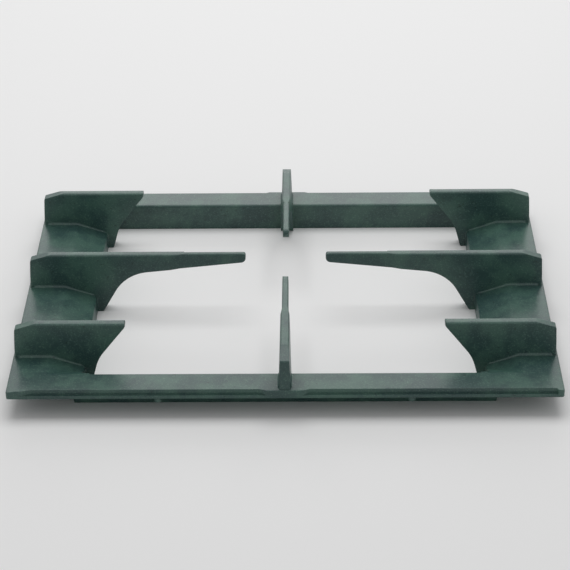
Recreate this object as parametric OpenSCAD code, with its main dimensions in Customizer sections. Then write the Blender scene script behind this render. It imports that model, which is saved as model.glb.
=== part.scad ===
// Cast-iron stove grate: one casting with a rectangular frame and eight webs.
// The frame's inner wall stands on the surface, and its flange reaches outwards over it.
// Six webs cross the wide sides and two cross the narrow bars. Their level tops carry the pan.
// The four long webs end in thin nibs that point at the middle of the burner.
// X runs along the width, Y from the front to the rear, Z up from the surface it stands on.

/* [Overall] */
// Width of the casting, left to right
grate_w = 395; // [380:1:420]
// Depth of the casting, front to rear
grate_d = 300; // [290:1:320]
// Height of the frame's level top above the surface it stands on
frame_h = 21.5; // [18:0.5:28]
// Height of the pan plane above the frame's level top
pan_h = 27; // [22:0.5:34]

/* [Frame] */
// Width of the front and rear bars
bar_w = 23.5; // [20:0.5:28]
// Width of the left and right sides
side_w = 51.5; // [46:0.5:56]
// Width of the level outer part of each side
side_flat = 28; // [22:1:32]
// How far each side falls towards its inner edge
side_drop = 8; // [4:0.5:9]
// Thickness of the flange
flange_t = 6.4; // [5:0.2:8]
// Thickness of the inner wall where it leaves the flange
wall_t = 6.5; // [5:0.5:8]
// Rounding of the frame's inner top edges
inner_edge_r = 1.8; // [0.8:0.2:2.4]
// Rounding of the frame's outer top edges
outer_edge_r = 1; // [0.4:0.2:1.6]
// Radius of the frame's outer corners, seen from above
corner_r = 2; // [1:0.5:5]
// Radius of the opening's corners, seen from above
opening_r = 5; // [2:0.5:8]

/* [Front and rear faces] */
// Depth of the relief in the front and rear faces
relief_depth = 2; // [1:0.5:3]
// Height of the relief, down from the frame's top
relief_h = 4; // [3:0.2:4.6]
// Half the width of the boss that carries each centre web's end
boss_half = 12.5; // [9:0.5:16]
// Corner block at the end where the relief stops short
block_short = 4.5; // [3:0.5:8]
// Corner block at the end where the relief runs out in a long ramp
block_long = 9; // [6:0.5:14]

/* [Locating pegs] */
// Diameter of the pegs under the flange
peg_d = 5.4; // [4:0.2:7]
// Distance of the pegs to either side of the centre line
peg_x = 90; // [70:1:120]
// Distance of the pegs' centres from the outer edge
peg_inset = 4; // [3.5:0.5:7]
// How far the pegs stand out of the flange
peg_h = 4.6; // [3:0.2:7]

/* [Webs] */
// Thickness of a web at its top
web_t = 6.5; // [5.5:0.1:8]
// Thickness of a nib at its top
nib_t = 4.3; // [3.4:0.1:5]
// Draft on each side of a web, in degrees
draft = 2.2; // [1:0.1:3]
// Distance between the webs on the left and right sides
web_pitch = 100; // [90:1:105]
// Clear gap between the tips of the left and right nibs
gap_x = 61; // [50:1:80]
// Clear gap between the tips of the front and rear nibs
gap_y = 68.4; // [56:0.2:84]
// How far the short webs reach past the inner wall
short_reach = 30.9; // [26:0.1:38]
// How far the webs' feet reach past the inner wall
foot_reach = 5; // [3:0.5:8]
// Length of a thin nib
nib_len = 48; // [36:1:56]
// Length over which a web tapers to its nib
flare_len = 9.5; // [6:0.5:14]
// Distance from the outer edge to the webs' outer ends
end_inset = 1.1; // [0.6:0.1:2]
// Length of the slope at a web's outer end
end_len = 16; // [10:1:20]
// Fall of the slope at a web's outer end
end_drop = 4.5; // [2:0.5:7]
// Radius of the arch under each web
arch_r = 32; // [20:1:40]
// Rounding along the webs' top edges
top_r = 1.7; // [0.8:0.1:2.2]
// Radius of the fillet at the foot of each web
root_r = 2.2; // [1:0.2:3.5]

/* [Hidden] */

iron = [0.17, 0.27, 0.25];

// Widest turn between two points of an arc, for small and for large radii
small_step = 15;
large_step = 4;
large_r = 10;
// Largest share of an edge that a corner's rounding may take
round_share = 0.48;
// Overlap that joins or clears two shapes
lap = 1;
// How deep the webs sink into the flange below its top
sink = 3;
// How far a fillet's edge dips into the surface that it meets
bite = 0.15;

// Half sizes of the frame and of its opening
half_w = grate_w / 2;
half_d = grate_d / 2;
open_x = half_w - side_w;
open_y = half_d - bar_w;

// Slope of the sides between their level part and their inner edge
side_run = side_w - side_flat;
side_angle = atan(side_drop / side_run);
// Radius of the crest between the level part and the slope
crest_r = 18;
// Width and fall of the soft outer edge of each side
soft_w = 8;
soft_drop = 0.8;
soft_r = 40;
// Length of the ramp at each end of a side's slope, and its rounding
ramp_len = 18;
ramp_r = 14;
// Draft of the opening and of the inner wall, as offsets from top to bottom
opening_draft = 0.5;
wall_draft = 1.2;
wall_root_r = 4;
// Ramps at the ends of the reliefs
short_ramp = 1;
long_ramp = 10;
boss_ramp = 5;
// Rounding of the pegs' lower ends
peg_end_r = 1.2;

// The long webs: depth of the nib's end, and angles of the underside and of the foot
nib_depth = 7.1;
nib_angle = 5.8;
foot_angle = 60;
nib_top_r = 2.8;
nib_bottom_r = 3.8;
// The short webs: depth of the nose, and angles of the underside and of the foot
nose_depth = 2.7;
nose_angle = 51.8;
short_foot_angle = 74.5;
nose_r = 2;
// The webs' outer ends: lean of the end face, and rounding of its corners
end_lean = 1.3;
end_r = 1.6;
end_crest_r = 12;
// Rounding of the feet, and of the nibs' top edges and tips
foot_r = 1.2;
nib_edge_r = 1.3;
tip_r = 1.5;
// Radii of the taper between a web and its nib, and length of a short web's rounded nose
flare_r = 12;
nose_swell = 12;

// Web half thickness at a height below the pan plane
function half_t(top_t, depth) = top_t / 2 + depth * tan(draft);

function unit(v) = v / norm(v);

// Turn from one direction to another, between -180 and 180 degrees
function turn(a, b) = let (d = b - a) d - 360 * round(d / 360);

// Arc that rounds the corner p between its neighbours a and b
function rounded_corner(a, p, b, r) =
    let (
        u = unit(a - p),
        v = unit(b - p),
        half = acos(max(-1, min(1, u * v))) / 2,
        room = round_share * min(norm(a - p), norm(b - p)),
        run = min(r / tan(half), room),
        r_in = run * tan(half),
        c = p + unit(u + v) * r_in / sin(half),
        s = p + u * run - c,
        e = p + v * run - c,
        from = atan2(s.y, s.x),
        sweep = turn(from, atan2(e.y, e.x)),
        n = ceil(abs(sweep) / (r_in > large_r ? large_step : small_step))
    )
    [for (i = [0:n]) c + r_in * [cos(from + sweep * i / n), sin(from + sweep * i / n)]];

// Outline through points [x, y, radius], where a radius of 0 keeps the corner sharp
function rounded(pts) = [
    for (i = [0:len(pts) - 1])
        let (
            p = pts[i],
            a = pts[(i + len(pts) - 1) % len(pts)],
            b = pts[(i + 1) % len(pts)]
        )
        each p[2] > 0
            ? rounded_corner([a.x, a.y], [p.x, p.y], [b.x, b.y], p[2])
            : [[p.x, p.y]]
];

// Point where the line through p at angle a meets the line through q at angle b
function meet(p, a, q, b) =
    let (
        d = q - p,
        s = (d.x * sin(b) - d.y * cos(b)) / (cos(a) * sin(b) - sin(a) * cos(b))
    )
    p + s * [cos(a), sin(a)];

// Outline mirrored to both sides of the Y axis
function both_sides(pts) = concat(pts, [for (i = [len(pts) - 1:-1:0]) [-pts[i].x, pts[i].y]]);

// Rectangle with rounded corners
function rounded_rect(x, y, r) = rounded([[-x, -y, r], [x, -y, r], [x, y, r], [-x, y, r]]);

// Extrusion of an outline in X and Z, to both sides of the XZ plane
module along_y(half) {
    rotate([90, 0, 0])
        translate([0, 0, -half])
            linear_extrude(2 * half)
                children();
}

// Extrusion of an outline in Y and Z, to both sides of the YZ plane
module along_x(half) {
    rotate([0, 0, 90])
        along_y(half)
            children();
}

module both_x() {
    children();
    mirror([1, 0, 0])
        children();
}

module both_y() {
    children();
    mirror([0, 1, 0])
        children();
}

// Block that bounds the frame: rounded corners, and softly falling outer edges at the sides
module frame_block() {
    intersection() {
        translate([0, 0, -frame_h])
            linear_extrude(frame_h + lap)
                polygon(rounded_rect(half_w, half_d, corner_r));
        along_y(half_d + lap)
            polygon(both_sides(rounded([
                [0, -frame_h - lap, 0],
                [half_w, -frame_h - lap, 0],
                [half_w, -soft_drop, outer_edge_r],
                [half_w - soft_w, 0, soft_r],
                [0, 0, 0]
            ])));
        along_x(half_w + lap)
            polygon(both_sides(rounded([
                [0, -frame_h - lap, 0],
                [half_d, -frame_h - lap, 0],
                [half_d, 0, outer_edge_r],
                [0, 0, 0]
            ])));
    }
}

// Opening over the burner, a little wider at the top
module opening() {
    intersection() {
        translate([0, 0, -frame_h - lap])
            linear_extrude(frame_h + 2 * lap)
                polygon(rounded_rect(open_x, open_y, opening_r));
        along_y(half_d)
            polygon(both_sides([
                [0, -frame_h - lap],
                [open_x - opening_draft, -frame_h - lap],
                [open_x, lap],
                [0, lap]
            ]));
        along_x(half_w)
            polygon(both_sides([
                [0, -frame_h - lap],
                [open_y - opening_draft, -frame_h - lap],
                [open_y, lap],
                [0, lap]
            ]));
    }
}

// Slope that falls to a side's inner edge, with a ramp at each end and a rounded edge
module side_slope() {
    above = 2 * lap;
    crest = crest_r * tan(side_angle / 2);
    intersection() {
        along_y(half_d)
            polygon(rounded([
                [open_x + side_run + crest, above, 0],
                [open_x + side_run + crest, 0, 0],
                [open_x + side_run, 0, crest_r],
                [open_x - lap * tan(side_angle), -side_drop, inner_edge_r],
                [open_x - lap, -frame_h, 0],
                [open_x - 2 * lap, -frame_h, 0],
                [open_x - 2 * lap, above, 0]
            ]));
        along_x(half_w)
            polygon(both_sides(rounded([
                [0, -frame_h, 0],
                [open_y - ramp_len, -frame_h, 0],
                [open_y - ramp_len, -side_drop - lap, ramp_r],
                [open_y, 0, ramp_r],
                [open_y + ramp_len, lap, 0],
                [open_y + ramp_len, above, 0],
                [0, above, 0]
            ])));
    }
}

// Rounding of a bar's inner top edge
module bar_edge() {
    translate([0, open_y, 0])
        along_x(open_x - opening_r - lap)
            polygon(concat(
                [for (a = [0:small_step:90])
                    [inner_edge_r * (1 - sin(a)), inner_edge_r * (cos(a) - 1)]],
                [[-lap, -inner_edge_r], [-lap, lap], [inner_edge_r, lap]]
            ));
}

// Space under the flange, outside the inner wall
module under_side() {
    along_y(half_d + lap)
        polygon(rounded([
            [half_w + lap, -flange_t, 0],
            [open_x + side_run, -flange_t, crest_r],
            [open_x + wall_t, -side_drop - flange_t * 0.8, wall_root_r],
            [open_x + wall_t - wall_draft, -frame_h - lap, 0],
            [half_w + lap, -frame_h - lap, 0]
        ]));
}

module under_bar() {
    along_x(half_w + lap)
        polygon(rounded([
            [half_d + lap, -flange_t, 0],
            [open_y + wall_t, -flange_t, wall_root_r],
            [open_y + wall_t - wall_draft, -frame_h - lap, 0],
            [half_d + lap, -frame_h - lap, 0]
        ]));
}

// Reliefs in the front face, on both sides of the centre web's boss
module front_reliefs() {
    translate([0, -half_d, -relief_h])
        linear_extrude(relief_h + lap) {
            polygon([
                [boss_half, -lap],
                [boss_half, 0],
                [boss_half + boss_ramp, relief_depth],
                [half_w - block_short - short_ramp, relief_depth],
                [half_w - block_short, 0],
                [half_w - block_short, -lap]
            ]);
            polygon([
                [-boss_half, -lap],
                [-boss_half, 0],
                [-boss_half - boss_ramp, relief_depth],
                [-half_w + block_long + long_ramp, relief_depth],
                [-half_w + block_long, 0],
                [-half_w + block_long, -lap]
            ]);
        }
}

// Round peg under the flange, with a rounded lower end
module peg() {
    translate([peg_x, -half_d + peg_inset, -flange_t])
        rotate_extrude($fn = 48)
            polygon(rounded([
                [0, -peg_h, 0],
                [peg_d / 2, -peg_h, peg_end_r],
                [peg_d / 2, lap, 0],
                [0, lap, 0]
            ]));
}

module frame() {
    difference() {
        frame_block();
        opening();
        both_x()
            side_slope();
        both_y()
            bar_edge();
        both_x()
            under_side();
        both_y()
            under_bar();
        front_reliefs();
        rotate([0, 0, 180])
            front_reliefs();
    }
    both_x()
        both_y()
            peg();
}

// Side view of a web. X runs from the inner wall towards the middle, Z up from the frame's top.
// The outline takes in the web's outer end, its nose, the arch below it and its foot.
module web_outline(outer, reach, depth, angle, foot, nose_top, nose_bottom, run, fall) {
    elbow = meet([reach, pan_h - depth], angle, [foot_reach, -frame_h], foot);
    along_y(web_t)
        polygon(rounded([
            [-outer, -sink, 0],
            [-outer + end_lean, pan_h - end_drop, end_r],
            [-outer + end_len, pan_h, end_crest_r],
            [reach, pan_h, nose_top],
            [reach, pan_h - depth, nose_bottom],
            [elbow.x, elbow.y, arch_r],
            [foot_reach, -frame_h, foot_r],
            [-wall_t / 2, -frame_h, 0],
            [-wall_t / 2, -fall - sink, 0],
            [-run - 2 * sink, -sink, 0]
        ]));
}

// Section across a web: drafted sides and rounded top edges
module web_section(top_t, edge_r) {
    base = half_t(top_t, pan_h + frame_h + lap);
    along_x(half_w)
        polygon(rounded([
            [-base, -frame_h - lap, 0],
            [base, -frame_h - lap, 0],
            [top_t / 2, pan_h, edge_r],
            [-top_t / 2, pan_h, edge_r]
        ]));
}

// Column over the plan of a web, given as the half above the X axis
module web_plan(half) {
    translate([0, 0, -frame_h - lap])
        linear_extrude(frame_h + pan_h + 2 * lap)
            polygon(concat(
                half,
                [for (i = [len(half) - 1:-1:0]) [half[i].x, -half[i].y]]
            ));
}

// First points of a plan: the web's outer end with its rounded corners
function plan_end(outer) = [
    [-outer, 0, 0],
    [-outer, half_t(web_t, pan_h), end_r],
    [-outer + end_len, half_t(web_t, pan_h), 0],
    [-outer + end_len, web_t, 0]
];

// Short web, which ends in a sloping nose just past the inner wall
module short_web(outer, run, fall) {
    nose_half = half_t(web_t, nose_depth);
    intersection() {
        web_outline(outer, short_reach, nose_depth, nose_angle, short_foot_angle,
            nose_r, nose_r, run, fall);
        web_section(web_t, top_r);
        web_plan(rounded(concat(plan_end(outer), [
            [short_reach - nose_swell, web_t, 0],
            [short_reach - nose_swell, half_t(web_t, nose_swell), 0],
            [short_reach, nose_half, tip_r],
            [short_reach, 0, 0]
        ])));
    }
}

// Long web, which tapers to a thin nib over the burner
module long_web(outer, reach, run, fall) {
    flare_end = reach - nib_len;
    flare_start = flare_end - flare_len;
    intersection() {
        web_outline(outer, reach, nib_depth, nib_angle, foot_angle,
            nib_top_r, nib_bottom_r, run, fall);
        union() {
            intersection() {
                web_section(web_t, top_r);
                web_plan(rounded(concat(plan_end(outer), [
                    [flare_start - lap, web_t, 0],
                    [flare_start - lap, half_t(web_t, pan_h / 2), 0],
                    [flare_start, half_t(web_t, pan_h / 2), flare_r],
                    [flare_end, nib_t / 2, flare_r],
                    [flare_end + lap, nib_t / 2, 0],
                    [flare_end + lap, 0, 0]
                ])));
            }
            intersection() {
                web_section(nib_t, nib_edge_r);
                web_plan(rounded([
                    [flare_start, 0, 0],
                    [flare_start, nib_t, 0],
                    [reach - nib_t, nib_t, 0],
                    [reach - nib_t, half_t(nib_t, nib_depth), 0],
                    [reach, half_t(nib_t, nib_depth), tip_r],
                    [reach, 0, 0]
                ]));
            }
        }
    }
}

// Quarter of a hollow arc that blends a face into another at right angles to it
function hollow(x, y) = [
    for (a = [180:small_step:270]) [x + root_r * (1 + cos(a)), y + root_r * (1 + sin(a))]
];

// Fillets along both sides of a web on a level surface, which run down well below it
module root_fillet(length) {
    along_x(length)
        polygon(both_sides(concat(
            hollow(half_t(web_t, pan_h - root_r), -bite),
            [[half_t(web_t, pan_h) + root_r, -frame_h]]
        )));
}

// Fillets between a web's foot and the inner wall
module foot_fillet(fall) {
    half = concat(
        [[-lap, 0], [-lap, half_t(web_t, pan_h + fall) + root_r]],
        hollow(0, half_t(web_t, pan_h + fall))
    );
    translate([0, 0, -frame_h])
        linear_extrude(frame_h - fall - inner_edge_r)
            polygon(concat(half, [for (i = [len(half) - 1:-1:0]) [half[i].x, -half[i].y]]));
}

// Turns what lies on the level part of a side over its crest, towards the slope
module over_crest(angle) {
    crest = crest_r * tan(side_angle / 2);
    translate([-side_run - crest, 0, -crest_r])
        rotate([0, angle, 0])
            translate([0, 0, crest_r])
                children();
}

// Fillets of a web that crosses a side: over its soft edge, its level part and its slope.
// Each tilted run is right for one stretch of the surface and stands proud of the others,
// so what all the runs share follows the whole surface.
module side_fillets(outer) {
    intersection() {
        root_fillet(side_w);
        translate([soft_w - side_w, 0, 0])
            rotate([0, -atan(soft_drop / soft_w), 0])
                root_fillet(side_w);
        over_crest(side_angle / 2)
            root_fillet(side_w);
        over_crest(side_angle)
            root_fillet(side_w);
        along_y(web_t + root_r)
            polygon([
                [-outer + 2 * end_r, -sink],
                [-side_run - sink, -sink],
                [-inner_edge_r, -side_drop - sink],
                [-inner_edge_r, 2 * root_r],
                [-outer + 2 * end_r, 2 * root_r]
            ]);
    }
    foot_fillet(side_drop);
}

// Fillets of a web that crosses a bar
module bar_fillets(outer) {
    intersection() {
        root_fillet(bar_w);
        along_y(web_t + root_r)
            polygon([
                [-outer + 2 * end_r, -sink],
                [-inner_edge_r, -sink],
                [-inner_edge_r, 2 * root_r],
                [-outer + 2 * end_r, 2 * root_r]
            ]);
    }
    foot_fillet(0);
}

// Webs of the left side, the middle one long and the others short
module side_webs() {
    outer = side_w - end_inset;
    translate([-open_x, 0, 0]) {
        long_web(outer, open_x - gap_x / 2, side_run, side_drop);
        side_fillets(outer);
        both_y()
            translate([0, web_pitch, 0]) {
                short_web(outer, side_run, side_drop);
                side_fillets(outer);
            }
    }
}

// Web in the middle of the front bar
module bar_web() {
    outer = bar_w - end_inset;
    translate([0, -open_y, 0])
        rotate([0, 0, 90]) {
            long_web(outer, open_y - gap_y / 2, 0, 0);
            bar_fillets(outer);
        }
}

// The whole casting, raised so that it stands on the ground plane
module grate() {
    color(iron)
        translate([0, 0, frame_h]) {
            frame();
            both_x()
                side_webs();
            both_y()
                bar_web();
        }
}

grate();
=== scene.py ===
"""Looks of a cast-iron stove grate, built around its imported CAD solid.

The grate is one casting. Its visible skin is a merged copy of the CAD solid with soft shading,
dressed in a procedural finish: satin dark green iron with the grain of its sand mould.
All sizes are in metres, in the row's own frame: +X right, +Y to the rear, +Z up.
"""

import logging
import math
from dataclasses import dataclass, field
from enum import Enum
from typing import Any

import bmesh
import bpy
from mathutils import Matrix, Vector

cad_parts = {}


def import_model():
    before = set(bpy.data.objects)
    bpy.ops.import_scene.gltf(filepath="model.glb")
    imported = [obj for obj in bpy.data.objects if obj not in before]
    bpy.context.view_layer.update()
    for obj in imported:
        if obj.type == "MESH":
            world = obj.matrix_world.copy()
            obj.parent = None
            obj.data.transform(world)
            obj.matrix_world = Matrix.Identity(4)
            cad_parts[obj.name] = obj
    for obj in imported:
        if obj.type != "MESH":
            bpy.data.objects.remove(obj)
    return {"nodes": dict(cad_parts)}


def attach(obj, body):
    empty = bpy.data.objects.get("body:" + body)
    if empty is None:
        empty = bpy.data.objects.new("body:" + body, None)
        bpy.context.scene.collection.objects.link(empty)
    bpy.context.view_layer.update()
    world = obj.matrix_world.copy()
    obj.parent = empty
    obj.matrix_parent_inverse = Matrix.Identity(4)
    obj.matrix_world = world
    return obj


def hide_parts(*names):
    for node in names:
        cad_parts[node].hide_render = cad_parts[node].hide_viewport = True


Colour = tuple[float, float, float]

CASTING_NODE = "grate"
MM = 0.001


class Light(Enum):
    """Blender's names of the lamps used here."""

    SOFTBOX = "AREA"


class Blend(Enum):
    """Ways in which one colour is laid over another."""

    MIX = "MIX"


class Sock:
    """A shader socket that takes part in Python arithmetic."""

    def __init__(self, graph: "Graph", socket: bpy.types.NodeSocket) -> None:
        """Wraps a socket.

        Args:
            graph: The graph that the socket belongs to.
            socket: The output socket to wrap.
        """
        self.graph = graph
        self.socket = socket

    def __add__(self, other: "Sock | float") -> "Sock":
        """Sum of two values."""
        return self.graph.maths("ADD", self, other)

    __radd__ = __add__

    def __mul__(self, other: "Sock | float") -> "Sock":
        """Product of two values."""
        return self.graph.maths("MULTIPLY", self, other)

    __rmul__ = __mul__

    def __sub__(self, other: "Sock | float") -> "Sock":
        """Difference of two values."""
        return self.graph.maths("SUBTRACT", self, other)

    def __rsub__(self, other: "Sock | float") -> "Sock":
        """Difference of a number and this value."""
        return self.graph.maths("SUBTRACT", other, self)

    def step(self, low: float, high: float) -> "Sock":
        """Smooth step from 0 at low to 1 at high.

        Args:
            low: The value that gives 0.
            high: The value that gives 1.

        Returns:
            The stepped value.
        """
        return self.graph.node(
            "ShaderNodeMapRange",
            {"interpolation_type": "SMOOTHSTEP"},
            {"Value": self, "From Min": low, "From Max": high},
            "Result",
        )


class Graph:
    """Node tree of one material."""

    def __init__(self, name: str) -> None:
        """Starts an empty material.

        Args:
            name: Name of the material.
        """
        self.material = bpy.data.materials.new(name)
        self.material.use_nodes = True
        self.tree = self.material.node_tree
        self.tree.nodes.clear()

    def node(
        self,
        kind: str,
        settings: dict[str, Any],
        inputs: dict[str | int, Any],
        output: str | int = 0,
    ) -> Sock:
        """Makes a node.

        Args:
            kind: Blender's type of the node.
            settings: Properties of the node, set before its sockets.
            inputs: Values or sockets for its inputs, by name or index.
            output: The output to return, by name or index.

        Returns:
            The wrapped output socket.
        """
        made = self.tree.nodes.new(kind)
        for key, value in settings.items():
            setattr(made, key, value)
        for key, value in inputs.items():
            if isinstance(value, Sock):
                self.tree.links.new(value.socket, made.inputs[key])
            else:
                made.inputs[key].default_value = value
        return Sock(self, made.outputs[output])

    def finished(self, shader: Sock) -> bpy.types.Material:
        """Gives the material its surface.

        Args:
            shader: The shader that the surface shows.

        Returns:
            The finished material.
        """
        out = self.tree.nodes.new("ShaderNodeOutputMaterial")
        self.tree.links.new(shader.socket, out.inputs["Surface"])
        return self.material

    def maths(self, operation: str, a: "Sock | float", b: "Sock | float") -> Sock:
        """One Math node.

        Args:
            operation: The node's operation.
            a: First operand.
            b: Second operand.

        Returns:
            The result.
        """
        return self.node("ShaderNodeMath", {"operation": operation}, {0: a, 1: b})

    def colours(self, blend: Blend, factor: "Sock | float", a: Any, b: Any) -> Sock:
        """Lays one colour over another.

        Args:
            blend: How the second colour is laid over the first.
            factor: How much of it is laid.
            a: First colour, a socket or numbers.
            b: Second colour, a socket or numbers.

        Returns:
            The blended colour.
        """
        first = a if isinstance(a, Sock) else (*a, 1.0)
        second = b if isinstance(b, Sock) else (*b, 1.0)
        return self.node(
            "ShaderNodeMix",
            {"data_type": "RGBA", "blend_type": blend.value},
            {0: factor, 6: first, 7: second},
            2,
        )


def from_eye(red: int, green: int, blue: int) -> Colour:
    """Turns a colour as seen on a screen, 0 to 255, into the linear one of a shader.

    Args:
        red: Red as seen.
        green: Green as seen.
        blue: Blue as seen.

    Returns:
        The linear colour.
    """
    def linear(level: int) -> float:
        """One channel, by the screen's curve."""
        share = level / 255
        return share / 12.92 if share <= 0.04045 else ((share + 0.055) / 1.055) ** 2.4

    return linear(red), linear(green), linear(blue)


@dataclass(frozen=True)
class CastIronFinish:
    """Satin dark green iron with the grain of its sand mould."""

    body: Colour = from_eye(60, 92, 82)
    deep: Colour = from_eye(38, 66, 64)
    worn: Colour = from_eye(104, 136, 122)
    speck: Colour = from_eye(24, 40, 38)
    roughness: float = 0.38
    grain_per_m: float = 900.0
    cloud_per_m: float = 38.0
    edge_radius: float = 0.7 * MM
    grain_height: float = 0.06 * MM

    def material(self) -> bpy.types.Material:
        """Builds the material.

        Returns:
            The finished material.
        """
        graph = Graph("cast_iron_green")
        place = graph.node("ShaderNodeTexCoord", {}, {}, "Object")
        grain = self._noise(graph, place, self.grain_per_m, 4.0, 0.62)
        pits = self._noise(graph, place, self.grain_per_m * 0.42, 2.0, 0.5)
        clouds = self._noise(graph, place, self.cloud_per_m, 5.0, 0.6)
        colour = graph.colours(Blend.MIX, clouds.step(0.38, 0.66), self.deep, self.body)
        colour = graph.colours(
            Blend.MIX, grain.step(0.5, 0.72) * 0.45, colour, self.worn
        )
        colour = graph.colours(
            Blend.MIX, pits.step(0.66, 0.74) * 0.6, colour, self.speck
        )
        rough = self.roughness + (grain - 0.5) * 0.25 + (clouds - 0.5) * 0.12
        rounded = graph.node(
            "ShaderNodeBevel", {"samples": 6}, {"Radius": self.edge_radius}, "Normal"
        )
        bump = graph.node(
            "ShaderNodeBump",
            {},
            {
                "Strength": 0.55,
                "Distance": self.grain_height,
                "Height": grain * 0.7 + pits * 0.3,
                "Normal": rounded,
            },
            "Normal",
        )
        shader = graph.node(
            "ShaderNodeBsdfPrincipled",
            {},
            {
                "Base Color": colour,
                "Roughness": rough,
                "Normal": bump,
                "IOR": 1.5,
                "Specular IOR Level": 0.5,
            },
            "BSDF",
        )
        return graph.finished(shader)

    @staticmethod
    def _noise(graph: Graph, place: Sock, scale: float, detail: float, rough: float) -> Sock:
        """Fractal noise over the casting.

        Args:
            graph: The material's graph.
            place: Object coordinates.
            scale: Waves to the metre.
            detail: Number of finer layers.
            rough: Strength of the finer layers.

        Returns:
            The noise, around 0.5.
        """
        return graph.node(
            "ShaderNodeTexNoise",
            {"noise_dimensions": "3D"},
            {"Vector": place, "Scale": scale, "Detail": detail, "Roughness": rough},
            "Fac",
        )


@dataclass
class Casting:
    """The grate itself: one casting, shown by a merged and softly shaded copy of its solid."""

    node: bpy.types.Object
    finish: CastIronFinish = field(default_factory=CastIronFinish)
    weld: float = 0.002 * MM
    crease: float = math.radians(34)

    def build(self) -> bpy.types.Object:
        """Makes the visible piece and dresses it.

        Returns:
            The piece, which stands for the CAD node.
        """
        mesh = bpy.data.meshes.new("grate_casting")
        shape = bmesh.new()
        shape.from_mesh(self.node.data)
        bmesh.ops.remove_doubles(shape, verts=shape.verts, dist=self.weld)
        for face in shape.faces:
            face.smooth = True
        for edge in shape.edges:
            edge.smooth = edge.is_manifold and edge.calc_face_angle(0.0) < self.crease
        shape.to_mesh(mesh)
        shape.free()
        piece = bpy.data.objects.new("grate_casting", mesh)
        bpy.context.scene.collection.objects.link(piece)
        mesh.materials.append(self.finish.material())
        weighted = piece.modifiers.new("soft_shading", "WEIGHTED_NORMAL")
        weighted.keep_sharp = True
        weighted.weight = 100
        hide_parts(CASTING_NODE)
        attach(piece, "root")
        return piece


@dataclass(frozen=True)
class PhotoCamera:
    """Camera at the photograph's viewing angle."""

    frame_width: float = 570.0
    focal: float = 2014.859
    sensor: float = 36.0
    pitch: float = math.radians(30.475)
    heading: float = math.radians(-0.671)
    roll: float = math.radians(-0.615)
    place: tuple[float, float, float] = (0.014871, -1.335918, 0.805829)

    def build(self) -> bpy.types.Object:
        """Makes the camera and gives it to the scene.

        Returns:
            The camera.
        """
        forward = Vector((
            math.sin(self.heading) * math.cos(self.pitch),
            math.cos(self.heading) * math.cos(self.pitch),
            -math.sin(self.pitch),
        ))
        level = Vector((math.cos(self.heading), -math.sin(self.heading), 0.0))
        upright = level.cross(forward)
        right = level * math.cos(self.roll) + upright * math.sin(self.roll)
        up = upright * math.cos(self.roll) - level * math.sin(self.roll)
        data = bpy.data.cameras.new("photo_camera")
        data.sensor_width = self.sensor
        data.lens = self.focal / self.frame_width * self.sensor
        data.clip_end = 20.0
        camera = bpy.data.objects.new("photo_camera", data)
        turn = Matrix((right, up, -forward)).transposed().to_4x4()
        camera.matrix_world = Matrix.Translation(self.place) @ turn
        bpy.context.scene.collection.objects.link(camera)
        bpy.context.scene.camera = camera
        return camera


@dataclass(frozen=True)
class Softbox:
    """One soft lamp that points at the grate."""

    name: str
    place: tuple[float, float, float]
    width: float
    depth: float
    power: float
    colour: Colour = (1.0, 1.0, 1.0)

    def build(self, target: Vector) -> bpy.types.Object:
        """Makes the lamp.

        Args:
            target: The point that it faces.

        Returns:
            The lamp.
        """
        data = bpy.data.lights.new(self.name, Light.SOFTBOX.value)
        data.shape = "RECTANGLE"
        data.size = self.width
        data.size_y = self.depth
        data.energy = self.power
        data.color = self.colour
        lamp = bpy.data.objects.new(self.name, data)
        lamp.location = self.place
        lamp.rotation_euler = (target - Vector(self.place)).to_track_quat("-Z", "Y").to_euler()
        bpy.context.scene.collection.objects.link(lamp)
        return lamp


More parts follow.
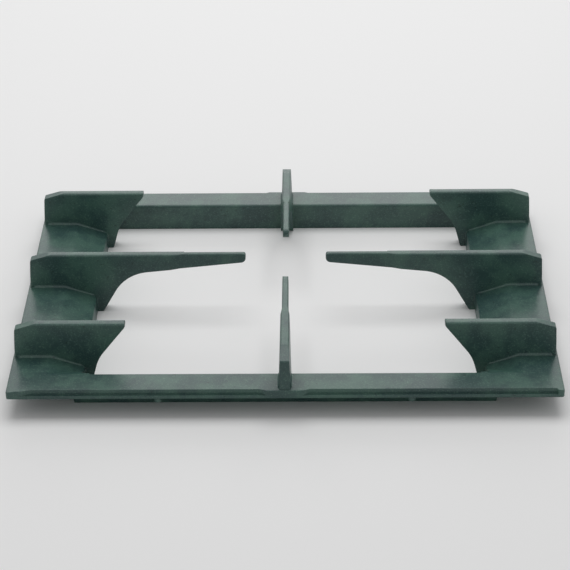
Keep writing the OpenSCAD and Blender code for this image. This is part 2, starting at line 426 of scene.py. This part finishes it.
@dataclass
class Studio:
    """White floor, soft lamps and a plain white surround."""

    floor_half: float = 6.0
    surround: float = 0.55
    floor_white: Colour = (0.86, 0.86, 0.86)
    lamps: tuple[Softbox, ...] = (
        Softbox("overhead", (0.0, 0.5, 1.8), 1.6, 1.2, 16.0),
        Softbox("rear", (0.0, 2.2, 0.9), 2.0, 1.0, 12.0),
    )

    def build(self) -> bpy.types.Object:
        """Makes the floor, the lamps and the world.

        Returns:
            The floor.
        """
        for lamp in self.lamps:
            lamp.build(Vector((0.0, 0.0, 0.02)))
        self._world()
        bpy.context.scene.view_settings.view_transform = "Standard"
        return self._floor()

    def _floor(self) -> bpy.types.Object:
        """Makes the floor.

        Returns:
            The floor.
        """
        mesh = bpy.data.meshes.new("studio_floor")
        shape = bmesh.new()
        bmesh.ops.create_grid(shape, x_segments=1, y_segments=1, size=self.floor_half)
        shape.to_mesh(mesh)
        shape.free()
        floor = bpy.data.objects.new("studio_floor", mesh)
        bpy.context.scene.collection.objects.link(floor)
        graph = Graph("studio_white")
        shader = graph.node(
            "ShaderNodeBsdfDiffuse", {}, {"Color": (*self.floor_white, 1.0)}, "BSDF"
        )
        mesh.materials.append(graph.finished(shader))
        return floor

    def _world(self) -> None:
        """Makes a plain white surround: soft light on the grate, full white to the camera."""
        world = bpy.data.worlds.new("white_surround")
        bpy.context.scene.world = world
        world.use_nodes = True
        tree = world.node_tree
        tree.nodes.clear()
        path = tree.nodes.new("ShaderNodeLightPath")
        seen = tree.nodes.new("ShaderNodeMath")
        seen.operation = "MAXIMUM"
        tree.links.new(path.outputs["Is Camera Ray"], seen.inputs[0])
        tree.links.new(path.outputs["Is Glossy Ray"], seen.inputs[1])
        level = tree.nodes.new("ShaderNodeMapRange")
        tree.links.new(seen.outputs[0], level.inputs["Value"])
        level.inputs["To Min"].default_value = self.surround
        level.inputs["To Max"].default_value = 1.0
        sky = tree.nodes.new("ShaderNodeBackground")
        tree.links.new(level.outputs["Result"], sky.inputs["Strength"])
        out = tree.nodes.new("ShaderNodeOutputWorld")
        tree.links.new(sky.outputs["Background"], out.inputs["Surface"])


def main(frame: dict[str, Any]) -> None:
    """Builds the studio, the camera and the grate.
    """
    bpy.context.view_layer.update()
    Studio().build()
    PhotoCamera().build()
    piece = Casting(frame["nodes"][CASTING_NODE]).build()
    logging.info("%s: %d faces", piece.name, len(piece.data.polygons))


if __name__ == "__main__":
    logging.basicConfig(level=logging.INFO)
    main(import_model())
